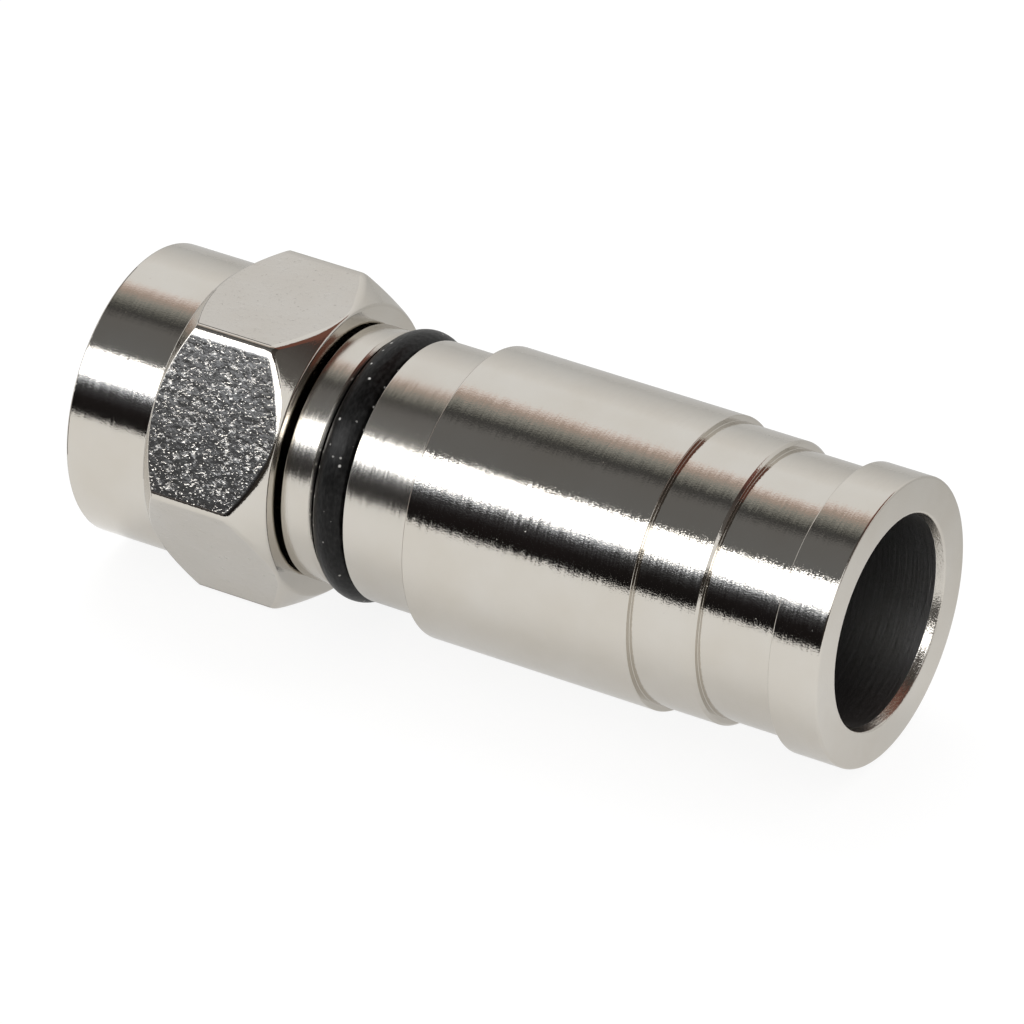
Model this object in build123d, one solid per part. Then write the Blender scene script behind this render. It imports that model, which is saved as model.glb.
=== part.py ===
from build123d import *
from math import radians, sqrt, tan
import os

# Male coaxial connector of the compression kind, for 7 mm cable, in millimetres.
# It lies along X: the coupling nut's mouth points to -X, the cable goes in at the +X end.
# The origin is on the axis, in the plane where the mating port's end seats on the post's flange.
# Two flats of the hexagon are horizontal, so the connector lies on one of them. +Z is up.
# A depth is a place along the axis, measured from the nut's mouth. A radius is from the axis.

# Clearances: running and seating ones are radial, gaps are along the axis
slide_clearance = 0.035
spin_clearance = 0.10
seat_clearance = 0.05
lip_gap = 0.10
nut_gap = 0.16
closed_gap = 0.37
tail_gap = 0.34
nose_gap = 0.70
edge_break = 0.12

# Inner post, the tube that goes under the cable's braid
seat_depth = 5.90
post_bore_radius = 2.42
post_wall = 0.43
post_shoulder_wall = 0.50
post_shoulder_length = 3.44
post_flange_thickness = 0.85
post_flange_clearance = 0.07
post_overhang = 2.10
barb_count = 2
barb_length = 1.50
barb_height = 0.33

# Coupling nut
nut_across_flats = 11.11
corner_rounding = 0.085
front_cone_angle = 45
back_cone_angle = 37
collar_length = 3.37
collar_wall = 0.7375
rim_drop = 0.055
thread_major_radius = 4.7625
thread_minor_radius = 4.37
mouth_countersink = 0.10
thread_relief_length = 0.60
nut_lip_thickness = 0.60
seal_recess_depth = 1.15

# Rubber rings: the small square one behind the nut's lip, the round-backed one on the body
nut_seal_section = 0.90
body_seal_section = 1.38
body_seal_proud = 0.20

# Connector body
cable_room = 1.25
body_tail_wall = 0.425
body_flange_drop = 0.105
body_flange_length = 1.25
groove_width = 1.42
body_open_length = 2.84

# Compression sleeve
lip_wall = 0.325
lip_margin = 0.24
barrel_length = 9.25
step_drop = 0.23
step_length = 2.62
step_chamfer = 0.10
neck_wall = 0.505
neck_length = 3.02
end_length = 1.96
end_face_width = 1.47
sleeve_edge_break = 0.06
entry_drop = 0.18
entry_chamfer_width = 0.12
entry_chamfer_depth = 0.34

# Gripping ring
ring_wall = 0.35
ring_seat_depth = 1.20
ring_nose_length = 1.60
ring_nose_wall = 0.12
ring_nose_reach = 1.50

# Radii that follow, from the bore outwards
post_tube_radius = post_bore_radius + post_wall
post_shoulder_radius = post_tube_radius + post_shoulder_wall
post_flange_radius = thread_minor_radius - post_flange_clearance
body_cable_radius = post_tube_radius + cable_room
ring_inner_radius = body_cable_radius
ring_outer_radius = ring_inner_radius + ring_wall
ring_seat_radius = ring_outer_radius + slide_clearance
body_tail_radius = ring_outer_radius + seat_clearance
body_radius = body_tail_radius + body_tail_wall
body_flange_radius = body_radius - body_flange_drop
body_seal_radius = body_radius + body_seal_proud - body_seal_section / 2
seal_base_radius = body_seal_radius - body_seal_section / 2
groove_radius = seal_base_radius - slide_clearance
sleeve_bore_radius = body_radius + slide_clearance
sleeve_lip_radius = body_radius + body_seal_proud + seat_clearance
barrel_radius = sleeve_lip_radius + lip_wall
step_radius = barrel_radius - step_drop
neck_radius = ring_seat_radius + neck_wall
cable_entry_radius = ring_inner_radius - entry_drop
end_radius = cable_entry_radius + end_face_width
collar_radius = thread_major_radius + collar_wall
hex_corner_radius = nut_across_flats / sqrt(3) - corner_rounding
nut_rim_radius = nut_across_flats / 2 - rim_drop
nut_lip_radius = post_shoulder_radius + spin_clearance
nut_seal_inner_radius = post_shoulder_radius + seat_clearance
nut_seal_outer_radius = nut_seal_inner_radius + nut_seal_section
seal_recess_radius = nut_seal_outer_radius + seat_clearance

# Depths that follow, from the nut's mouth back
flange_back = seat_depth + post_flange_thickness
nut_lip_front = flange_back + lip_gap
nut_lip_back = nut_lip_front + nut_lip_thickness
nut_length = nut_lip_back + seal_recess_depth
body_front = nut_length + nut_gap
nut_seal_front = (nut_lip_back + body_front - nut_seal_section) / 2
nut_seal_back = nut_seal_front + nut_seal_section
shoulder_end = body_front + post_shoulder_length
groove_front = body_front + body_flange_length
groove_back = groove_front + groove_width
body_seal_depth = groove_front + groove_width / 2
sleeve_front = groove_back + body_open_length
sleeve_travel = sleeve_front - nut_length - closed_gap
lip_back = groove_back + sleeve_travel + lip_margin
barrel_end = sleeve_front + barrel_length
step_end = barrel_end + step_length
neck_end = step_end + neck_length
sleeve_end = neck_end + end_length
bore_end = step_end - step_chamfer
body_end = bore_end - sleeve_travel - tail_gap
post_end = body_end + post_overhang
ring_front = body_end - ring_nose_reach
ring_back = bore_end + ring_seat_depth
taper_front = ring_front - sleeve_travel - nose_gap


def place(depth):
    """Place along X of a depth measured from the nut's mouth."""
    return depth - seat_depth


def turned(points):
    """Solid of revolution about X from a closed outline of (depth, radius) points."""
    outline = Polyline(*[(place(depth), radius) for depth, radius in points], close=True)
    return revolve(make_face(outline), Axis.X)


def make_coupling_nut():
    """Round collar and hexagon from one bar, with the port's thread bore and the nut's lip."""
    front_rise = hex_corner_radius - collar_radius
    back_rise = hex_corner_radius - nut_rim_radius
    front_corner = collar_length + front_rise / tan(radians(front_cone_angle))
    back_corner = nut_length - back_rise / tan(radians(back_cone_angle))
    collar = turned([
        (0, 0),
        (0, collar_radius - edge_break),
        (edge_break, collar_radius),
        (collar_length, collar_radius),
        (collar_length, 0),
    ])
    envelope = turned([
        (collar_length, 0),
        (collar_length, collar_radius),
        (front_corner, hex_corner_radius),
        (back_corner, hex_corner_radius),
        (nut_length, nut_rim_radius),
        (nut_length, 0),
    ])
    hexagon = RegularPolygon(nut_across_flats / 2, 6, major_radius=False)
    bar = Location((place(0), 0, 0)) * (Plane.YZ * extrude(hexagon, nut_length))
    mouth_radius = thread_major_radius + mouth_countersink
    thread_end = seat_depth - thread_relief_length
    inside = turned([
        (0, 0),
        (0, mouth_radius),
        (mouth_radius - thread_minor_radius, thread_minor_radius),
        (thread_end, thread_minor_radius),
        (thread_end, thread_major_radius),
        (nut_lip_front, thread_major_radius),
        (nut_lip_front, nut_lip_radius),
        (nut_lip_back, nut_lip_radius),
        (nut_lip_back, seal_recess_radius),
        (nut_length, seal_recess_radius),
        (nut_length, 0),
    ])
    return collar + (bar & envelope) - inside


def make_inner_post():
    """Flanged tube with barbs at its cable end."""
    outline = [
        (seat_depth, post_bore_radius + edge_break),
        (seat_depth, post_flange_radius - edge_break),
        (seat_depth + edge_break, post_flange_radius),
        (flange_back, post_flange_radius),
        (flange_back, post_shoulder_radius),
        (shoulder_end - edge_break, post_shoulder_radius),
        (shoulder_end, post_shoulder_radius - edge_break),
        (shoulder_end, post_tube_radius),
    ]
    for barb in range(barb_count, 0, -1):
        barb_depth = post_end - barb * barb_length
        outline += [
            (barb_depth, post_tube_radius),
            (barb_depth + edge_break, post_tube_radius + barb_height),
        ]
    outline += [
        (post_end, post_tube_radius),
        (post_end, post_bore_radius),
        (seat_depth + edge_break, post_bore_radius),
    ]
    return turned(outline)


def make_nut_seal():
    """Small square ring on the post's shoulder, in the recess at the nut's back."""
    return turned([
        (nut_seal_front, nut_seal_inner_radius),
        (nut_seal_front, nut_seal_outer_radius - edge_break),
        (nut_seal_front + edge_break, nut_seal_outer_radius),
        (nut_seal_back - edge_break, nut_seal_outer_radius),
        (nut_seal_back, nut_seal_outer_radius - edge_break),
        (nut_seal_back, nut_seal_inner_radius),
    ])


def make_connector_body():
    """Flange, seal groove and barrel in one piece, pressed on the post's shoulder."""
    return turned([
        (body_front, post_shoulder_radius),
        (body_front, body_flange_radius),
        (groove_front - edge_break, body_flange_radius),
        (groove_front, body_flange_radius - edge_break),
        (groove_front, groove_radius),
        (groove_back, groove_radius),
        (groove_back, body_radius),
        (body_end - edge_break, body_radius),
        (body_end, body_radius - edge_break),
        (body_end, body_tail_radius),
        (taper_front + ring_nose_length, body_tail_radius),
        (taper_front, body_cable_radius),
        (shoulder_end, body_cable_radius),
        (shoulder_end, post_shoulder_radius),
    ])


def make_body_seal():
    """Black ring with a round back that stands proud of the body, and a base pressed flat."""
    half = body_seal_section / 2
    front, middle, back = (place(body_seal_depth + offset) for offset in (-half, 0, half))
    shoulder_front = (front, body_seal_radius)
    shoulder_back = (back, body_seal_radius)
    base = Polyline(shoulder_back, (back, seal_base_radius), (front, seal_base_radius), shoulder_front)
    crown = ThreePointArc(shoulder_front, (middle, body_seal_radius + half), shoulder_back)
    return revolve(make_face([base, crown]), Axis.X)


def make_compression_sleeve():
    """Stepped barrel that slides over the body, with the cable's entry in its end flange."""
    return turned([
        (sleeve_front, sleeve_lip_radius),
        (sleeve_front, barrel_radius - sleeve_edge_break),
        (sleeve_front + sleeve_edge_break, barrel_radius),
        (barrel_end - sleeve_edge_break, barrel_radius),
        (barrel_end, barrel_radius - sleeve_edge_break),
        (barrel_end, step_radius),
        (step_end - step_chamfer, step_radius),
        (step_end, step_radius - step_chamfer),
        (step_end, neck_radius),
        (neck_end, neck_radius),
        (neck_end, end_radius - sleeve_edge_break),
        (neck_end + sleeve_edge_break, end_radius),
        (sleeve_end - edge_break, end_radius),
        (sleeve_end, end_radius - edge_break),
        (sleeve_end, cable_entry_radius + entry_chamfer_width),
        (sleeve_end - entry_chamfer_depth, cable_entry_radius),
        (ring_back, cable_entry_radius),
        (ring_back, ring_seat_radius),
        (bore_end, ring_seat_radius),
        (bore_end, sleeve_bore_radius),
        (lip_back, sleeve_bore_radius),
        (lip_back, sleeve_lip_radius),
    ])


def make_gripping_ring():
    """Thin plastic ring, seated in the sleeve, whose tapered nose runs into the body's tail."""
    return turned([
        (ring_front, ring_inner_radius),
        (ring_front, ring_inner_radius + ring_nose_wall),
        (ring_front + ring_nose_length, ring_outer_radius),
        (ring_back, ring_outer_radius),
        (ring_back, ring_inner_radius + edge_break),
        (ring_back - edge_break, ring_inner_radius),
    ])


nodes = {
    "coupling_nut": make_coupling_nut(),
    "inner_post": make_inner_post(),
    "nut_seal": make_nut_seal(),
    "connector_body": make_connector_body(),
    "body_seal": make_body_seal(),
    "compression_sleeve": make_compression_sleeve(),
    "gripping_ring": make_gripping_ring(),
}

os.makedirs("parts", exist_ok=True)
for name, solid in nodes.items():
    export_step(solid, f"parts/{name}.step")
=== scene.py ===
import math

import bpy
import numpy as np
from mathutils import Matrix, Vector


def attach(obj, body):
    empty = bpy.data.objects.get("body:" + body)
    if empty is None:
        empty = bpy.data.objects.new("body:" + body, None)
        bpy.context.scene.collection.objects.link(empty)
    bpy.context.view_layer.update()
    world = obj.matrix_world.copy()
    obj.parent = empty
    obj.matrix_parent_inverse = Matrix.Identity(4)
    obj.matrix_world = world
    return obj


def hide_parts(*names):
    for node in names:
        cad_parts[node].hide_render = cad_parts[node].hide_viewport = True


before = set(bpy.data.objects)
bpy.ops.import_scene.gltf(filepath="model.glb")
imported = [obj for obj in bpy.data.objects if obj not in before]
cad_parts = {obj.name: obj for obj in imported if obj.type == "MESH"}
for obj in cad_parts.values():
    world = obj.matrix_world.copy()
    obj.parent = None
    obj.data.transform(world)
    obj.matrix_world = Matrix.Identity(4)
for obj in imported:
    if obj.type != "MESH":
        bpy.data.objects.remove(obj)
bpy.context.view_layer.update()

# Sizes in millimetres. A depth is a place along the axis, measured from the nut's mouth.
MM = 0.001
SEAT_DEPTH = 5.90
EDGE = 0.12

# How finely forms are divided: round the axis for outer and inner pieces, along an outline, and
# round a fillet
OUTER_SEGMENTS = 224
INNER_SEGMENTS = 128
LONGEST_RUN = 1.2
ARC_STEPS = 5

# Coupling nut
ACROSS_FLATS = 11.11
CORNER_FILLET = 0.42
CORNER_STEPS = 8
ROLLED_WIDTH = 0.10
ROLLED_ANGLE = 5
ROLLED_FILLET = 1.5
SECTION_RUN = 0.24
DARK_LINE_WIDTH = 0.05
COLLAR_LENGTH = 3.37
COLLAR_RADIUS = 5.50
NUT_LENGTH = 8.60
BACK_CONE_ANGLE = 37
BACK_FILLET = 0.60
RIM_RADIUS = 5.50
RIM_FILLET = 0.18
THREAD_MAJOR = 4.7625
THREAD_MINOR = 4.37
THREAD_PITCH = 0.79375
THREAD_END = 5.30
THREAD_ROWS = 14
COUNTERSINK = 0.10
LIP_FRONT = 6.85
LIP_BACK = 7.45
LIP_RADIUS = 3.45
RECESS_RADIUS = 4.35
APOTHEM = ACROSS_FLATS / 2
# A sixth of a turn, and half of a flat's width, up to where its corner's fillet starts
SIXTH = math.pi / 3
FLAT_END = (APOTHEM - CORNER_FILLET) * math.tan(math.pi / 6)

# Inner post
POST_BORE = 2.42
POST_TUBE = 2.85
POST_SHOULDER = 3.35
POST_FLANGE = 4.30
FLANGE_BACK = 6.75
SHOULDER_END = 12.20
POST_END = 22.50
BARB_COUNT = 2
BARB_LENGTH = 1.50
BARB_RADIUS = 3.18

# Seals: the small square one behind the nut's lip, and the round-backed one on the body
NUT_SEAL_FRONT = 7.655
NUT_SEAL_BACK = 8.555
NUT_SEAL_INNER = 3.40
NUT_SEAL_OUTER = 4.30
BODY_SEAL_DEPTH = 10.72
BODY_SEAL_RADIUS = 4.435
BODY_SEAL_SECTION = 1.38
SEAL_ARC_STEPS = 28
SEAL_BASE_RUN = 0.25

# Connector body
BODY_FRONT = 8.76
BODY_FLANGE = 4.82
GROOVE_FRONT = 10.01
GROOVE_BACK = 11.43
GROOVE_RADIUS = 3.71
BODY_RADIUS = 4.925
BODY_END = 20.40
TAIL_RADIUS = 4.50
CABLE_RADIUS = 4.10
TAPER_FRONT = 12.90
TAPER_LENGTH = 1.60

# Compression sleeve
SLEEVE_FRONT = 14.27
BARREL_END = 23.52
STEP_END = 26.14
NECK_END = 29.16
SLEEVE_END = 31.12
BARREL_RADIUS = 5.50
STEP_RADIUS = 5.27
STEP_CHAMFER = 0.10
NECK_RADIUS = 4.99
END_RADIUS = 5.39
LIP_INNER = 5.175
LIP_DEPTH = 16.97
GUIDE_RADIUS = 4.96
BORE_END = 26.04
ENTRY_RADIUS = 3.92
ENTRY_CHAMFER_DEPTH = 0.34
ENTRY_CHAMFER_WIDTH = 0.12

# Gripping ring
RING_FRONT = 18.90
RING_BACK = 27.24
RING_INNER = 4.10
RING_OUTER = 4.45
RING_SEAT = 4.485
RING_NOSE = 4.22


def place(depth):
    """Place along X, in millimetres, of a depth measured from the nut's mouth."""
    return depth - SEAT_DEPTH


# Outlines and meshes

def rounded(corners, steps=ARC_STEPS):
    """Closed outline with its corners filleted; a corner is (x, y, fillet radius). A fillet takes
    up at most nearly half of the shorter side, and what is nearly straight gets none."""
    side_share = 0.49
    nearly_straight = math.radians(89.5)
    outline = []
    count = len(corners)
    for index in range(count):
        x, y, fillet = corners[index]
        here = np.array((x, y))
        before = np.array(corners[index - 1][:2]) - here
        after = np.array(corners[(index + 1) % count][:2]) - here
        room = side_share * min(np.linalg.norm(before), np.linalg.norm(after))
        before = before / np.linalg.norm(before)
        after = after / np.linalg.norm(after)
        half = math.acos(max(-1.0, min(1.0, float(before @ after)))) / 2
        if fillet == 0 or half > nearly_straight:
            outline.append(here)
            continue
        reach = min(fillet / math.tan(half), room)
        radius = reach * math.tan(half)
        middle = (before + after) / np.linalg.norm(before + after)
        centre = here + middle * math.hypot(reach, radius)
        start = here + before * reach - centre
        end = here + after * reach - centre
        turn = math.atan2(start[0] * end[1] - start[1] * end[0], float(start @ end))
        for step in range(steps + 1):
            angle = turn * step / steps
            cos, sin = math.cos(angle), math.sin(angle)
            outline.append(centre + (start[0] * cos - start[1] * sin, start[0] * sin + start[1] * cos))
    return np.array(outline)


def split_long(outline, longest):
    """The same closed outline, with its long runs divided."""
    points = []
    for index in range(len(outline)):
        start, end = outline[index], outline[(index + 1) % len(outline)]
        pieces = max(1, math.ceil(np.linalg.norm(end - start) / longest))
        points += [start + (end - start) * step / pieces for step in range(pieces)]
    return np.array(points)


def mesh_object(name, points, faces):
    """Object from points in millimetres, with normals weighted by the faces' areas."""
    mesh = bpy.data.meshes.new(name)
    mesh.from_pydata((np.asarray(points) * MM).tolist(), [], faces)
    mesh.update()
    mesh.polygons.foreach_set("use_smooth", [True] * len(mesh.polygons))
    weights = np.zeros((len(mesh.vertices), 3))
    for polygon in mesh.polygons:
        weights[list(polygon.vertices)] += np.array(polygon.normal) * polygon.area
    weights /= np.maximum(np.linalg.norm(weights, axis=1, keepdims=True), 1e-12)
    mesh.normals_split_custom_set_from_vertices(weights.tolist())
    piece = bpy.data.objects.new(name, mesh)
    bpy.context.scene.collection.objects.link(piece)
    return piece


def even_angles(segments):
    """Evenly spaced angles for one turn about the axis."""
    return [2 * math.pi * index / segments for index in range(segments)]


def ring_piece(name, outlines, angles):
    """Closed ring: one outline of (depth, radius) points for each angle about the axis."""
    rows = len(outlines[0])
    count = len(angles)
    points = []
    for outline, angle in zip(outlines, angles):
        cos, sin = math.cos(angle), math.sin(angle)
        points += [(place(depth), radius * cos, radius * sin) for depth, radius in outline]
    faces = []
    for column in range(count):
        beside = (column + 1) % count
        for row in range(rows):
            above = (row + 1) % rows
            faces.append((column * rows + row, column * rows + above,
                          beside * rows + above, beside * rows + row))
    return mesh_object(name, points, faces)


def turned_piece(name, corners, segments=OUTER_SEGMENTS):
    """Turned piece from the corners of its outline, each with its fillet."""
    outline = split_long(rounded(corners), LONGEST_RUN)
    return ring_piece(name, [outline] * segments, even_angles(segments))


def thread_radius(depth, angle):
    """Radius of the internal thread: flat crests, straight flanks and flat roots. The root's half
    and the flank are shares of the pitch."""
    half_root = 1 / 16
    flank = 5 / 16
    turn = (depth / THREAD_PITCH - angle / (2 * math.pi)) % 1.0
    rise = (abs(turn - 0.5) - half_root) / flank
    groove = 1 - max(0.0, min(1.0, rise))
    radius = THREAD_MINOR + (THREAD_MAJOR - THREAD_MINOR) * groove
    return max(radius, THREAD_MAJOR + COUNTERSINK - depth)


def nut_section():
    """Outline of the hexagon, seen along the axis. One edge of each flat is rolled a little."""
    slope = math.tan(math.radians(ROLLED_ANGLE))
    flat_start = ROLLED_WIDTH - FLAT_END
    # Here the rolled edge's slope meets the flat before it
    corner = -(APOTHEM + flat_start * slope) / (math.sqrt(3) - slope)
    corner_outward = APOTHEM - (flat_start - corner) * slope
    hexagon = []
    for index in range(6):
        cos, sin = math.cos((index + 0.5) * SIXTH), math.sin((index + 0.5) * SIXTH)
        for outward, sideways, fillet in (
            (corner_outward, corner, CORNER_FILLET),
            (APOTHEM, flat_start, ROLLED_FILLET),
        ):
            hexagon.append((outward * cos - sideways * sin, outward * sin + sideways * cos, fillet))
    return split_long(rounded(hexagon, CORNER_STEPS), SECTION_RUN)


def nut_piece(name):
    """Coupling nut: round collar, filleted hexagon between two turned cones, thread and lip."""
    thread_rows = np.arange(THREAD_END, 0, -THREAD_PITCH / THREAD_ROWS)
    outlines, angles = [], []
    for y, z in nut_section():
        angle = math.atan2(z, y)
        hex_radius = math.hypot(y, z)
        front = COLLAR_LENGTH + hex_radius - COLLAR_RADIUS
        back = NUT_LENGTH - (hex_radius - RIM_RADIUS) / math.tan(math.radians(BACK_CONE_ANGLE))
        lead = rounded([
            (0, THREAD_MAJOR + COUNTERSINK, 0),
            (0, COLLAR_RADIUS, 0.10),
            (COLLAR_LENGTH, COLLAR_RADIUS, 0.06),
            (front, hex_radius, 0.10),
            (back, hex_radius, BACK_FILLET),
            (NUT_LENGTH, RIM_RADIUS, RIM_FILLET),
            (NUT_LENGTH, RECESS_RADIUS, 0.04),
            (LIP_BACK, RECESS_RADIUS, 0.05),
            (LIP_BACK, LIP_RADIUS, 0.04),
            (LIP_FRONT, LIP_RADIUS, 0.04),
            (LIP_FRONT, THREAD_MAJOR, 0.05),
            (THREAD_END, THREAD_MAJOR, 0),
        ])
        inner = [(depth, thread_radius(depth, angle)) for depth in thread_rows]
        outlines.append(list(lead) + inner)
        angles.append(angle)
    piece = ring_piece(name, outlines, angles)
    mark_nut(piece)
    return piece


# How far a face's normal leans towards the cable end, and how near its middle has to be to the
# flat or bore that it belongs to
LEVEL_LEAN = 0.02
CONE_LEAN = 0.05
DARK_LINE_LEAN = 0.22
STEP_LEAN = 0.40
RIM_LEAN = 0.70
BACK_LEAN = 0.99
NEAR_FLAT = 0.02
NEAR_BORE = 0.01


def mark_nut(piece):
    """Second material on the nut's six flats, third on its back face, fourth on its rear cone,
    fifth as thin dark lines painted along one edge of each flat, along part of its rear edge and round
    the rear rim."""
    flat, back, cone, dark_line = 1, 2, 3, 4
    rim_start = place(NUT_LENGTH - RIM_FILLET)
    for polygon in piece.data.polygons:
        x, y, z = polygon.center / MM
        radius = math.hypot(y, z)
        if radius < RECESS_RADIUS:
            continue
        sector = math.floor(math.atan2(z, y) / SIXTH) + 0.5
        cos, sin = math.cos(sector * SIXTH), math.sin(sector * SIXTH)
        outward, sideways = y * cos + z * sin, z * cos - y * sin
        lean = polygon.normal.x
        level = abs(lean) < LEVEL_LEAN
        on_hexagon = radius > COLLAR_RADIUS + EDGE
        if lean > BACK_LEAN:
            polygon.material_index = back
        # Thin dark lines are painted on the rim's fillet and along edges of the flats
        elif x > rim_start and lean > RIM_LEAN:
            polygon.material_index = dark_line
        elif level and abs(outward - APOTHEM) < NEAR_FLAT and sideways < FLAT_END:
            polygon.material_index = flat
        elif level and on_hexagon and FLAT_END < sideways < FLAT_END + DARK_LINE_WIDTH:
            polygon.material_index = dark_line
        elif CONE_LEAN < lean < DARK_LINE_LEAN and sideways > FLAT_END / 4:
            polygon.material_index = dark_line
        elif lean > CONE_LEAN:
            polygon.material_index = cone


def post_piece(name):
    """Flanged tube with barbs at its cable end."""
    corners = [
        (SEAT_DEPTH, POST_BORE, 0.12),
        (SEAT_DEPTH, POST_FLANGE, 0.12),
        (FLANGE_BACK, POST_FLANGE, 0.05),
        (FLANGE_BACK, POST_SHOULDER, 0.05),
        (SHOULDER_END, POST_SHOULDER, 0.12),
        (SHOULDER_END, POST_TUBE, 0.05),
    ]
    for barb in range(BARB_COUNT, 0, -1):
        start = POST_END - barb * BARB_LENGTH
        corners += [(start, POST_TUBE, 0.05), (start + EDGE, BARB_RADIUS, 0.04)]
    corners += [(POST_END, POST_TUBE, 0.08), (POST_END, POST_BORE, 0.06)]
    return turned_piece(name, corners, INNER_SEGMENTS)


def nut_seal_piece(name):
    """Small square rubber ring with rounded edges."""
    return turned_piece(name, [
        (NUT_SEAL_FRONT, NUT_SEAL_INNER, 0.06),
        (NUT_SEAL_FRONT, NUT_SEAL_OUTER, 0.12),
        (NUT_SEAL_BACK, NUT_SEAL_OUTER, 0.12),
        (NUT_SEAL_BACK, NUT_SEAL_INNER, 0.06),
    ], INNER_SEGMENTS)


def body_piece(name):
    """Flange, seal groove and barrel of the body."""
    return turned_piece(name, [
        (BODY_FRONT, POST_SHOULDER, 0.05),
        (BODY_FRONT, BODY_FLANGE, 0.07),
        (GROOVE_FRONT - EDGE, BODY_FLANGE, 0.05),
        (GROOVE_FRONT, BODY_FLANGE - EDGE, 0.03),
        (GROOVE_FRONT, GROOVE_RADIUS, 0.06),
        (GROOVE_BACK, GROOVE_RADIUS, 0.06),
        (GROOVE_BACK, BODY_RADIUS, 0.07),
        (BODY_END, BODY_RADIUS, 0.12),
        (BODY_END, TAIL_RADIUS, 0.04),
        (TAPER_FRONT + TAPER_LENGTH, TAIL_RADIUS, 0.05),
        (TAPER_FRONT, CABLE_RADIUS, 0.05),
        (SHOULDER_END, CABLE_RADIUS, 0.05),
        (SHOULDER_END, POST_SHOULDER, 0),
    ])


def body_seal_piece(name):
    """Rubber ring with a round back and a base pressed flat."""
    half = BODY_SEAL_SECTION / 2
    outline = [(BODY_SEAL_DEPTH - half, BODY_SEAL_RADIUS - half)]
    for index in range(SEAL_ARC_STEPS + 1):
        angle = math.pi * index / SEAL_ARC_STEPS
        outline.append((
            BODY_SEAL_DEPTH - half * math.cos(angle),
            BODY_SEAL_RADIUS + half * math.sin(angle),
        ))
    outline.append((BODY_SEAL_DEPTH + half, BODY_SEAL_RADIUS - half))
    outline = split_long(np.array(outline), SEAL_BASE_RUN)
    return ring_piece(name, [outline] * OUTER_SEGMENTS, even_angles(OUTER_SEGMENTS))


def sleeve_piece(name):
    """Stepped barrel with the cable's entry in its end flange."""
    piece = turned_piece(name, [
        (SLEEVE_FRONT, LIP_INNER, 0.03),
        (SLEEVE_FRONT, BARREL_RADIUS, 0.06),
        (BARREL_END, BARREL_RADIUS, 0.04),
        (BARREL_END, STEP_RADIUS, 0.02),
        (STEP_END - STEP_CHAMFER, STEP_RADIUS, 0.04),
        (STEP_END, STEP_RADIUS - STEP_CHAMFER, 0.03),
        (STEP_END, NECK_RADIUS, 0.02),
        (NECK_END, NECK_RADIUS, 0.03),
        (NECK_END, END_RADIUS, 0.06),
        (SLEEVE_END, END_RADIUS, 0.09),
        (SLEEVE_END, ENTRY_RADIUS + ENTRY_CHAMFER_WIDTH, 0.12),
        (SLEEVE_END - ENTRY_CHAMFER_DEPTH, ENTRY_RADIUS, 0.04),
        (RING_BACK, ENTRY_RADIUS, 0.03),
        (RING_BACK, RING_SEAT, 0.03),
        (BORE_END, RING_SEAT, 0.03),
        (BORE_END, GUIDE_RADIUS, 0.05),
        (LIP_DEPTH, GUIDE_RADIUS, 0.04),
        (LIP_DEPTH, LIP_INNER, 0.04),
    ])
    mark_sleeve(piece)
    return piece


def mark_sleeve(piece):
    """Second material on the sleeve's end face, third in the entry's bore, fourth on its chamfer,
    fifth on the two steps."""
    face, bore, chamfer, step = 1, 2, 3, 4
    face_start = place(SLEEVE_END - EDGE)
    chamfer_start = place(SLEEVE_END - ENTRY_CHAMFER_DEPTH)
    steps_end = place(NECK_END)
    for polygon in piece.data.polygons:
        x, y, z = polygon.center / MM
        radius = math.hypot(y, z)
        lean = polygon.normal.x
        if x > face_start and lean > BACK_LEAN:
            polygon.material_index = face
        elif radius < ENTRY_RADIUS + NEAR_BORE:
            polygon.material_index = bore
        elif x > chamfer_start and radius < ENTRY_RADIUS + 2 * EDGE:
            polygon.material_index = chamfer
        elif lean > STEP_LEAN and NECK_RADIUS < radius < BARREL_RADIUS and x < steps_end:
            polygon.material_index = step


def ring_in_sleeve(name):
    """Plastic gripping ring with its tapered nose."""
    return turned_piece(name, [
        (RING_FRONT, RING_INNER, 0.03),
        (RING_FRONT, RING_NOSE, 0.04),
        (RING_FRONT + TAPER_LENGTH, RING_OUTER, 0.10),
        (RING_BACK, RING_OUTER, 0.05),
        (RING_BACK, RING_INNER, 0.08),
    ], INNER_SEGMENTS)


# Materials: noise in waves per metre along X, Y and Z, heights and sizes of pits in metres

NICKEL = (0.60, 0.57, 0.52)
DRAWN_NICKEL = (0.56, 0.535, 0.495)


def new_material(name):
    """Material with its nodes and links."""
    material = bpy.data.materials.new(name)
    material.use_nodes = True
    return material, material.node_tree.nodes, material.node_tree.links


def stretched_noise(nodes, links, waves, detail, turn=(0, 0, 0)):
    """Noise with its own count of waves along each axis, turned by degrees about X, Y and Z."""
    coordinates = nodes.new("ShaderNodeTexCoord")
    mapping = nodes.new("ShaderNodeMapping")
    mapping.vector_type = "TEXTURE"
    mapping.inputs["Scale"].default_value = [1 / count for count in waves]
    mapping.inputs["Rotation"].default_value = [math.radians(angle) for angle in turn]
    links.new(coordinates.outputs["Object"], mapping.inputs["Vector"])
    noise = nodes.new("ShaderNodeTexNoise")
    noise.inputs["Scale"].default_value = 1.0
    noise.inputs["Detail"].default_value = detail
    links.new(mapping.outputs["Vector"], noise.inputs["Vector"])
    return noise.outputs["Fac"]


def math_node(nodes, links, operation, first, second):
    """One step of arithmetic; either value may be a number or a socket."""
    node = nodes.new("ShaderNodeMath")
    node.operation = operation
    for socket, value in zip(node.inputs, (first, second)):
        if isinstance(value, (int, float)):
            socket.default_value = value
        else:
            links.new(value, socket)
    return node.outputs["Value"]


def raised(nodes, links, value, start, gain):
    """What a value has above its start, times a gain."""
    above = math_node(nodes, links, "SUBTRACT", value, start)
    return math_node(nodes, links, "MULTIPLY", above, gain)


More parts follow.
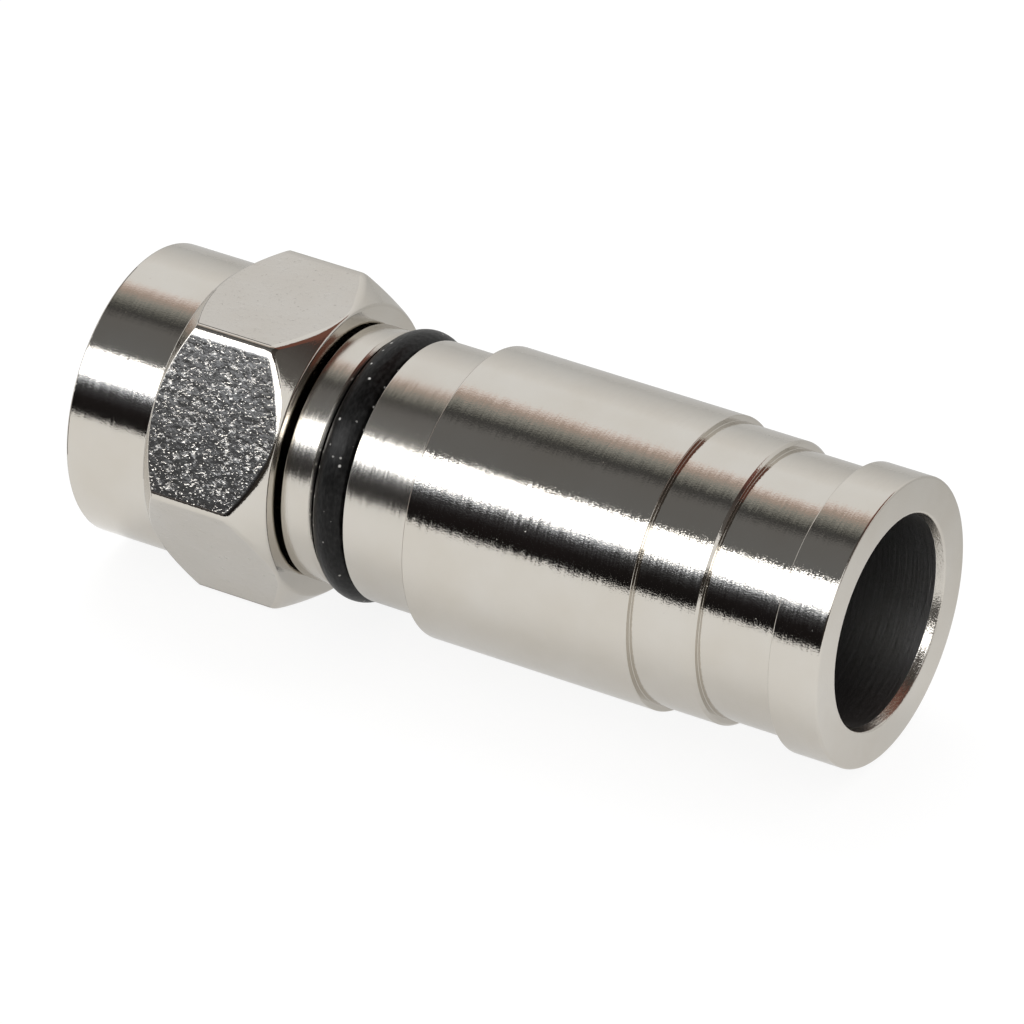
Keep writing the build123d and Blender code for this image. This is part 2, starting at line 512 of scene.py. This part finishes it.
def bump(nodes, links, height, distance, normal=None):
    """Bump of a height that runs from 0 to 1, over a distance in metres."""
    node = nodes.new("ShaderNodeBump")
    node.inputs["Strength"].default_value = 1.0
    node.inputs["Distance"].default_value = distance
    links.new(height, node.inputs["Height"])
    if normal is not None:
        links.new(normal, node.inputs["Normal"])
    return node.outputs["Normal"]


def relief(nodes, links, layers, normal=None):
    """Bumps of noise on top of each other; a layer is (waves, detail, height)."""
    for waves, detail, height in layers:
        normal = bump(nodes, links, stretched_noise(nodes, links, waves, detail), height, normal)
    return normal


def turning_tilt(nodes, links, tilt):
    """Normal leaned round the axis by fine streaks, which fray the edges of long reflections."""
    noise_middle = 0.5
    streaks = stretched_noise(nodes, links, (14000, 1600, 1600), 2)
    lean = raised(nodes, links, streaks, noise_middle, tilt)
    coordinates = nodes.new("ShaderNodeTexCoord")
    parts = nodes.new("ShaderNodeSeparateXYZ")
    links.new(coordinates.outputs["Object"], parts.inputs["Vector"])
    around = nodes.new("ShaderNodeCombineXYZ")
    links.new(math_node(nodes, links, "MULTIPLY", parts.outputs["Z"], -1.0), around.inputs["Y"])
    links.new(parts.outputs["Y"], around.inputs["Z"])
    turned = nodes.new("ShaderNodeVectorTransform")
    # This kind also brings the vector to unit length
    turned.vector_type = "NORMAL"
    turned.convert_from = "OBJECT"
    turned.convert_to = "WORLD"
    links.new(around.outputs["Vector"], turned.inputs["Vector"])
    scaled = nodes.new("ShaderNodeVectorMath")
    scaled.operation = "SCALE"
    links.new(turned.outputs["Vector"], scaled.inputs["Vector"])
    links.new(lean, scaled.inputs["Scale"])
    surface = nodes.new("ShaderNodeNewGeometry")
    added = nodes.new("ShaderNodeVectorMath")
    added.operation = "ADD"
    links.new(surface.outputs["Normal"], added.inputs[0])
    links.new(scaled.outputs["Vector"], added.inputs[1])
    unit = nodes.new("ShaderNodeVectorMath")
    unit.operation = "NORMALIZE"
    links.new(added.outputs["Vector"], unit.inputs[0])
    return unit.outputs["Vector"]


def specks(nodes, links, cells, size, share, ragged):
    """Sparse pits: 1 at the middle of a pit, 0 outside it. Cells are counted per metre, and a
    share of them has a pit. Ragged is how far the pits' outlines are drawn out of round."""
    warp_waves = 2.2 * cells
    coordinates = nodes.new("ShaderNodeTexCoord")
    warp = nodes.new("ShaderNodeTexNoise")
    warp.inputs["Scale"].default_value = warp_waves
    links.new(coordinates.outputs["Object"], warp.inputs["Vector"])
    shift = nodes.new("ShaderNodeVectorMath")
    shift.operation = "MULTIPLY_ADD"
    shift.inputs[1].default_value = (ragged, ragged, ragged)
    links.new(warp.outputs["Color"], shift.inputs[0])
    links.new(coordinates.outputs["Object"], shift.inputs[2])
    voronoi = nodes.new("ShaderNodeTexVoronoi")
    voronoi.inputs["Scale"].default_value = cells
    links.new(shift.outputs["Vector"], voronoi.inputs["Vector"])
    parts = nodes.new("ShaderNodeSeparateColor")
    links.new(voronoi.outputs["Color"], parts.inputs["Color"])
    chosen = math_node(nodes, links, "LESS_THAN", parts.outputs["Red"], share)
    reach = size * cells
    depth = math_node(nodes, links, "SUBTRACT", reach, voronoi.outputs["Distance"])
    inside = math_node(nodes, links, "DIVIDE", depth, reach)
    inside = math_node(nodes, links, "MAXIMUM", inside, 0.0)
    return math_node(nodes, links, "MULTIPLY", inside, chosen)


def cloudy_color(nodes, links, shader, color):
    """Base colour with slow, faint clouds of warmer and cooler metal."""
    warm, cool = (0.94, 0.92, 0.89), (1.06, 1.08, 1.11)
    cloud = stretched_noise(nodes, links, (420, 420, 420), 3)
    warmer = [part * share for part, share in zip(color, warm)]
    cooler = [part * share for part, share in zip(color, cool)]
    tint = mixed_color(nodes, links, cloud, warmer, cooler)
    links.new(tint.outputs["Result"], shader.inputs["Base Color"])


def mixed_color(nodes, links, factor, first, second):
    """Mix of two colours; a colour is (red, green, blue), or None for one that is linked later."""
    mix = nodes.new("ShaderNodeMix")
    mix.data_type = "RGBA"
    for socket, color in (("A", first), ("B", second)):
        if color is not None:
            mix.inputs[socket].default_value = (*color, 1)
    links.new(factor, mix.inputs["Factor"])
    return mix


def turned_nickel(name, roughness, tilt, marks, grain):
    """Nickel plating over turned brass: streaks round the axis, fine grain and a few pits. Marks
    and grain are heights."""
    finest_grain = 1.3e-6
    pit_depth = 4e-6
    material, nodes, links = new_material(name)
    shader = nodes["Principled BSDF"]
    shader.inputs["Metallic"].default_value = 1.0
    shader.inputs["Roughness"].default_value = roughness
    cloudy_color(nodes, links, shader, NICKEL)
    normal = relief(nodes, links, [
        ((21000, 90, 90), 2, marks),
        ((15000, 15000, 15000), 2, grain),
        ((30000, 26000, 26000), 1, finest_grain),
    ], turning_tilt(nodes, links, tilt))
    pits = specks(nodes, links, cells=3800, size=3e-5, share=0.10, ragged=4e-5)
    links.new(bump(nodes, links, pits, -pit_depth, normal), shader.inputs["Normal"])
    return material


def pitted_nickel(name, wave_height, pit_depth):
    """Nickel plating over the drawn hexagon: waves, a close grain of shallow pits and short
    scratches."""
    smooth, pits_add = 0.07, 0.22
    cluster_share = 0.35
    pit_start, pit_gain = 0.73, 4.5
    scratch_start, scratch_depth = 0.68, 5e-5
    material, nodes, links = new_material(name)
    shader = nodes["Principled BSDF"]
    shader.inputs["Metallic"].default_value = 1.0
    cloudy_color(nodes, links, shader, DRAWN_NICKEL)
    # The pits scatter the light, the metal between them is smoother
    single = stretched_noise(nodes, links, (4300, 4300, 4300), 2)
    clusters = stretched_noise(nodes, links, (1300, 1300, 1300), 2)
    clusters = math_node(nodes, links, "MULTIPLY", clusters, cluster_share)
    pits = math_node(nodes, links, "ADD", single, clusters)
    pits = raised(nodes, links, pits, pit_start, pit_gain)
    pits = math_node(nodes, links, "MAXIMUM", pits, 0.0)
    pits = math_node(nodes, links, "MINIMUM", pits, 1.0)
    rough = math_node(nodes, links, "MULTIPLY", pits, pits_add)
    rough = math_node(nodes, links, "ADD", rough, smooth)
    links.new(rough, shader.inputs["Roughness"])
    normal = relief(nodes, links, [((2800, 2800, 2800), 3, wave_height)])
    normal = bump(nodes, links, pits, -pit_depth, normal)
    for turn in ((0, 25, 40), (35, -30, -15)):
        lines = stretched_noise(nodes, links, (900, 13000, 13000), 1, turn)
        scratch = math_node(nodes, links, "SUBTRACT", lines, scratch_start)
        scratch = math_node(nodes, links, "MAXIMUM", scratch, 0.0)
        normal = bump(nodes, links, scratch, -scratch_depth, normal)
    links.new(normal, shader.inputs["Normal"])
    return material


def matt_nickel(name, color, roughness, metallic=1.0, rings=6e-6):
    """Faced or bored metal: duller plating with fine rings about the axis, in the colour given, which
    some uses darken as painted shade. Less than metallic is a dull, tarnished skin."""
    grain = 3e-6
    material, nodes, links = new_material(name)
    shader = nodes["Principled BSDF"]
    shader.inputs["Metallic"].default_value = metallic
    shader.inputs["Roughness"].default_value = roughness
    cloudy_color(nodes, links, shader, color)
    normal = relief(nodes, links, [
        ((9000, 700, 700), 2, rings),
        ((5000, 5000, 5000), 4, grain),
    ])
    links.new(normal, shader.inputs["Normal"])
    return material


def rubber(name):
    """Matt black rubber, worn rough, with a few pale specks of dust."""
    black, bloomed = (0.001, 0.001, 0.001), (0.012, 0.0115, 0.0115)
    dust_color = (0.5, 0.49, 0.47)
    bloom_start, bloom_gain = 0.40, 3.0
    dust_gain = 2.0
    unevenness = 2e-5
    material, nodes, links = new_material(name)
    shader = nodes["Principled BSDF"]
    shader.inputs["Roughness"].default_value = 0.34
    shader.inputs["Specular IOR Level"].default_value = 0.20
    bloom = stretched_noise(nodes, links, (11000, 4500, 4500), 3)
    bloom = raised(nodes, links, bloom, bloom_start, bloom_gain)
    mottled = mixed_color(nodes, links, bloom, black, bloomed)
    dust = specks(nodes, links, cells=3500, size=7e-5, share=0.22, ragged=5e-5)
    dust = math_node(nodes, links, "MULTIPLY", dust, dust_gain)
    dusty = mixed_color(nodes, links, dust, None, dust_color)
    links.new(mottled.outputs["Result"], dusty.inputs["A"])
    links.new(dusty.outputs["Result"], shader.inputs["Base Color"])
    normal = relief(nodes, links, [((8000, 2500, 2500), 3, unevenness)])
    links.new(normal, shader.inputs["Normal"])
    return material


def plastic(name):
    """Black plastic of the gripping ring."""
    black, worn = (0.012, 0.012, 0.012), (0.02, 0.02, 0.02)
    material, nodes, links = new_material(name)
    shader = nodes["Principled BSDF"]
    shader.inputs["Roughness"].default_value = 0.4
    cloud = stretched_noise(nodes, links, (900, 900, 900), 2)
    tint = mixed_color(nodes, links, cloud, black, worn)
    links.new(tint.outputs["Result"], shader.inputs["Base Color"])
    return material


# Pieces

bright_nickel = turned_nickel("bright_nickel", roughness=0.07, tilt=0.08, marks=5e-7, grain=2.6e-6)
collar_nickel = turned_nickel("collar_nickel", roughness=0.085, tilt=0.05, marks=4e-7, grain=1.8e-6)
streaked_nickel = turned_nickel("streaked_nickel", roughness=0.17, tilt=0.08, marks=1e-6, grain=1e-6)
chamfer_nickel = turned_nickel("chamfer_nickel", roughness=0.20, tilt=0.30, marks=1.5e-6, grain=9e-6)
flat_nickel = pitted_nickel("flat_nickel", wave_height=6e-6, pit_depth=3.3e-6)
cone_nickel = pitted_nickel("cone_nickel", wave_height=3e-6, pit_depth=2e-6)
# End face: nickel darkened as painted shade, standing for the shadowed floor that it reflects
shaded_face_nickel = matt_nickel("shaded_face_nickel", (0.40, 0.37, 0.335), 0.32)
back_nickel = matt_nickel("back_nickel", (0.55, 0.47, 0.40), 0.60, metallic=0.1)
# Dark colour painted on thin strips of the nut, drawn as dark lines
dark_line_nickel = matt_nickel("dark_line_nickel", (0.10, 0.085, 0.075), 0.35)
# Steps: darker, browner nickel as painted shade, so that the steps show as dark lines
shaded_step_nickel = matt_nickel("shaded_step_nickel", (0.34, 0.29, 0.25), 0.30)
# Bore: nickel darkened as painted shade inside the cable's entry
shaded_bore_nickel = matt_nickel("shaded_bore_nickel", (0.30, 0.295, 0.295), 0.43, rings=1.4e-5)
black_rubber = rubber("black_rubber")
black_plastic = plastic("black_plastic")

pieces = [
    (nut_piece("nut_dressed"), "coupling_nut", "nut", "nut_plating",
     [collar_nickel, flat_nickel, back_nickel, cone_nickel, dark_line_nickel]),
    (post_piece("post_dressed"), "inner_post", "body", "post_plating", [streaked_nickel]),
    (nut_seal_piece("nut_seal_dressed"), "nut_seal", "body", "seal_rubber", [black_rubber]),
    (body_piece("body_dressed"), "connector_body", "body", "body_plating", [streaked_nickel]),
    (body_seal_piece("body_seal_dressed"), "body_seal", "body", "seal_rubber", [black_rubber]),
    (sleeve_piece("sleeve_dressed"), "compression_sleeve", "sleeve", "sleeve_plating",
     [bright_nickel, shaded_face_nickel, shaded_bore_nickel, chamfer_nickel, shaded_step_nickel]),
    (ring_in_sleeve("ring_dressed"), "gripping_ring", "sleeve", "ring_plastic", [black_plastic]),
]
for piece, node, body, slot, materials in pieces:
    for material in materials:
        piece.data.materials.append(material)
    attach(piece, body)
    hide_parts(node)


# Camera: at the photograph's angle

AZIMUTH = math.radians(30.75)
ELEVATION = math.radians(31.85)
ROLL = math.radians(0.25)
CAMERA_PLACE = Vector((145.09, -227.60, 164.13)) * MM
FOCAL_PIXELS = 8663
IMAGE_PIXELS = 1024
SENSOR_WIDTH = 36
CLIP_START = 10 * MM


def make_camera():
    """Camera with a long lens, rolled a little about its line of sight."""
    back = Vector((
        math.sin(AZIMUTH) * math.cos(ELEVATION),
        -math.cos(AZIMUTH) * math.cos(ELEVATION),
        math.sin(ELEVATION),
    ))
    level = Vector((math.cos(AZIMUTH), math.sin(AZIMUTH), 0))
    roll = Matrix.Rotation(ROLL, 3, back)
    right = roll @ level
    up = roll @ back.cross(level)
    lens = bpy.data.cameras.new("camera")
    lens.sensor_width = SENSOR_WIDTH
    lens.lens = FOCAL_PIXELS / IMAGE_PIXELS * SENSOR_WIDTH
    lens.clip_start = CLIP_START
    camera = bpy.data.objects.new("camera", lens)
    axes = Matrix((right, up, back)).transposed().to_4x4()
    camera.matrix_world = Matrix.Translation(CAMERA_PLACE) @ axes
    bpy.context.scene.collection.objects.link(camera)
    bpy.context.scene.camera = camera


# Studio: pale floor, white surroundings, and dark and bright cards that only reflections see

# Surroundings: their strength as light and as they look
WHITE = (1, 1, 1, 1)
WORLD_LIGHT = 0.9
WORLD_LOOK = 1.0

# Floor: the camera and reflections see shares of a glow instead of its lit colour. For
# reflections the glow fades behind the axis, down to the dark one at the fade's end: a painted
# shadow of the object on the floor, which only reflections see.
FLOOR_COLOR = (0.88, 0.87, 0.85, 1)
FLOOR_HALF = 2500
FLOOR_GAP = 0.01
FLOOR_GLOW = 1.05
SHADOW_GLOW = 0.1
SHADOW_FADE_END = 20
MIRRORED_SHARE = 0.45
SEEN_SHARE = 0.84

# Lamp, in metres and watts
LAMP_PLACE = (-0.25, 0.35, 0.75)
LAMP_SIZE = 0.6
LAMP_POWER = 2.5


def ray_share(nodes, links, shares):
    """Factor that is the share given for each kind of ray, and 0 for the rest."""
    path = nodes.new("ShaderNodeLightPath")
    total = None
    for kind, share in shares.items():
        part = math_node(nodes, links, "MULTIPLY", path.outputs[kind], share)
        total = part if total is None else math_node(nodes, links, "MAXIMUM", total, part)
    return total


def make_world():
    """White surroundings, a little dimmer as light than as they look."""
    world = bpy.data.worlds.new("studio")
    bpy.context.scene.world = world
    world.use_nodes = True
    nodes, links = world.node_tree.nodes, world.node_tree.links
    nodes.clear()
    mix = nodes.new("ShaderNodeMixShader")
    shares = {"Is Camera Ray": 1.0, "Is Glossy Ray": 1.0, "Is Transmission Ray": 1.0}
    links.new(ray_share(nodes, links, shares), mix.inputs["Fac"])
    for socket, strength in ((1, WORLD_LIGHT), (2, WORLD_LOOK)):
        background = nodes.new("ShaderNodeBackground")
        background.inputs["Color"].default_value = WHITE
        background.inputs["Strength"].default_value = strength
        links.new(background.outputs["Background"], mix.inputs[socket])
    output = nodes.new("ShaderNodeOutputWorld")
    links.new(mix.outputs["Shader"], output.inputs["Surface"])


def make_floor():
    """Large pale floor, a hair under the nut's lower flat so that the two faces don't coincide."""
    height = -ACROSS_FLATS / 2 - FLOOR_GAP
    square = ((-1, -1), (1, -1), (1, 1), (-1, 1))
    corners = [(x * FLOOR_HALF, y * FLOOR_HALF, height) for x, y in square]
    floor = mesh_object("floor", corners, [(0, 1, 2, 3)])
    material, nodes, links = new_material("pale_floor")
    nodes.clear()
    diffuse = nodes.new("ShaderNodeBsdfDiffuse")
    diffuse.inputs["Color"].default_value = FLOOR_COLOR
    seen = nodes.new("ShaderNodeEmission")
    seen.inputs["Strength"].default_value = FLOOR_GLOW
    position = nodes.new("ShaderNodeNewGeometry")
    parts = nodes.new("ShaderNodeSeparateXYZ")
    links.new(position.outputs["Position"], parts.inputs["Vector"])
    # Painted shadow: the glow that reflections see fades with distance behind the axis
    painted_shadow = nodes.new("ShaderNodeMapRange")
    painted_shadow.inputs["From Min"].default_value = 0.0
    painted_shadow.inputs["From Max"].default_value = SHADOW_FADE_END * MM
    painted_shadow.inputs["To Min"].default_value = FLOOR_GLOW
    painted_shadow.inputs["To Max"].default_value = SHADOW_GLOW
    links.new(parts.outputs["Y"], painted_shadow.inputs["Value"])
    mirrored = nodes.new("ShaderNodeEmission")
    links.new(painted_shadow.outputs["Result"], mirrored.inputs["Strength"])
    shader = diffuse.outputs["BSDF"]
    for emission, shares in (
        (mirrored, {"Is Glossy Ray": MIRRORED_SHARE}),
        (seen, {"Is Camera Ray": SEEN_SHARE, "Is Transmission Ray": SEEN_SHARE}),
    ):
        mix = nodes.new("ShaderNodeMixShader")
        links.new(ray_share(nodes, links, shares), mix.inputs["Fac"])
        links.new(shader, mix.inputs[1])
        links.new(emission.outputs["Emission"], mix.inputs[2])
        shader = mix.outputs["Shader"]
    output = nodes.new("ShaderNodeOutputMaterial")
    links.new(shader, output.inputs["Surface"])
    floor.data.materials.append(material)


def make_lamp():
    """Soft lamp behind and above the nut, aimed at the origin and left out of reflections."""
    disk = bpy.data.lights.new("key", "AREA")
    disk.shape = "DISK"
    disk.size = LAMP_SIZE
    disk.energy = LAMP_POWER
    lamp = bpy.data.objects.new("key", disk)
    lamp.location = LAMP_PLACE
    lamp.rotation_euler = (-lamp.location).to_track_quat("-Z", "Y").to_euler()
    lamp.visible_glossy = False
    bpy.context.scene.collection.objects.link(lamp)


CARD_DISTANCE = 900
CARD_CENTRE = Vector((10, 0, 0))
CARD_ROWS = 16
CARD_COLUMNS = 12
CAMERA_SIDE = math.degrees(math.atan2(math.tan(ELEVATION), math.cos(AZIMUTH)))


def make_card(name, low, high, low_light, high_light, near=30, far=92):
    """Part of a large sphere that only reflections see. Low and high are degrees about X, up from
    the camera's side, and each has its light. Near and far are degrees from the nut's end of the
    axis."""
    points, lights = [], []
    for row in range(CARD_ROWS + 1):
        tilt = math.radians(near + (far - near) * row / CARD_ROWS)
        for column in range(CARD_COLUMNS + 1):
            share = column / CARD_COLUMNS
            angle = math.radians(CAMERA_SIDE + low + (high - low) * share)
            direction = Vector((-math.cos(tilt), -math.sin(tilt) * math.cos(angle),
                                math.sin(tilt) * math.sin(angle)))
            points.append(tuple(CARD_CENTRE + direction * CARD_DISTANCE))
            lights += [a + (b - a) * share for a, b in zip(low_light, high_light)] + [1.0]
    faces = []
    for row in range(CARD_ROWS):
        for column in range(CARD_COLUMNS):
            corner = row * (CARD_COLUMNS + 1) + column
            above = corner + CARD_COLUMNS + 1
            faces.append((corner, corner + 1, above + 1, above))
    card = mesh_object(name, points, faces)
    light = card.data.color_attributes.new("light", "FLOAT_COLOR", "POINT")
    light.data.foreach_set("color", lights)
    material, nodes, links = new_material(name)
    nodes.clear()
    attribute = nodes.new("ShaderNodeAttribute")
    attribute.attribute_name = "light"
    emission = nodes.new("ShaderNodeEmission")
    links.new(attribute.outputs["Color"], emission.inputs["Color"])
    output = nodes.new("ShaderNodeOutputMaterial")
    links.new(emission.outputs["Emission"], output.inputs["Surface"])
    card.data.materials.append(material)
    card.visible_camera = False
    card.visible_diffuse = False
    card.visible_shadow = False
    card.visible_transmission = False


make_camera()
make_world()
make_floor()
make_card("black_card", -39.5, -21, (0.009, 0.008, 0.008), (0.014, 0.012, 0.012))
make_card("ember_card", -21, -12, (0.014, 0.012, 0.012), (0.08, 0.083, 0.09))
make_card("glow_card", -12, -5, (0.08, 0.083, 0.09), (1.25, 1.32, 1.45))
make_card("bright_card", -5, 15, (4.5, 4.5, 4.5), (4.5, 4.5, 4.5), far=122)
make_card("rear_bright_card", -8, 36, (1.1, 1.1, 1.1), (1.1, 1.1, 1.1), near=122, far=179)
make_card("dark_card", 15, 44, (0.175, 0.178, 0.18), (0.175, 0.172, 0.17))
make_card("shade_card", 44, 53, (0.175, 0.172, 0.17), (0.045, 0.044, 0.044))
make_card("green_card", 53, 65, (0.045, 0.046, 0.046), (0.38, 0.38, 0.35))
make_card("brown_card", 65, 71, (0.42, 0.39, 0.36), (0.54, 0.42, 0.36))
make_card("blush_card", 71, 78, (0.58, 0.46, 0.40), (1.05, 0.95, 0.92))
make_card("low_room_card", -39.5, -8, (0.03, 0.025, 0.022), (0.05, 0.045, 0.04), near=92, far=179)
make_card("room_card", 15, 62, (0.10, 0.09, 0.085), (0.05, 0.045, 0.04), near=92, far=122)
make_card("red_room_card", 62, 105, (0.20, 0.08, 0.06), (0.24, 0.12, 0.09), near=92, far=122)
make_card("rear_room_card", 36, 84, (0.16, 0.155, 0.15), (0.05, 0.035, 0.03), near=122, far=179)
make_card("red_rear_card", 84, 108, (0.12, 0.05, 0.04), (0.30, 0.14, 0.11), near=122, far=179)
make_card("back_card", 105, 144, (0.98, 0.97, 0.96), (0.60, 0.60, 0.59), near=5, far=175)

make_lamp()

bpy.context.scene.view_settings.view_transform = "Standard"
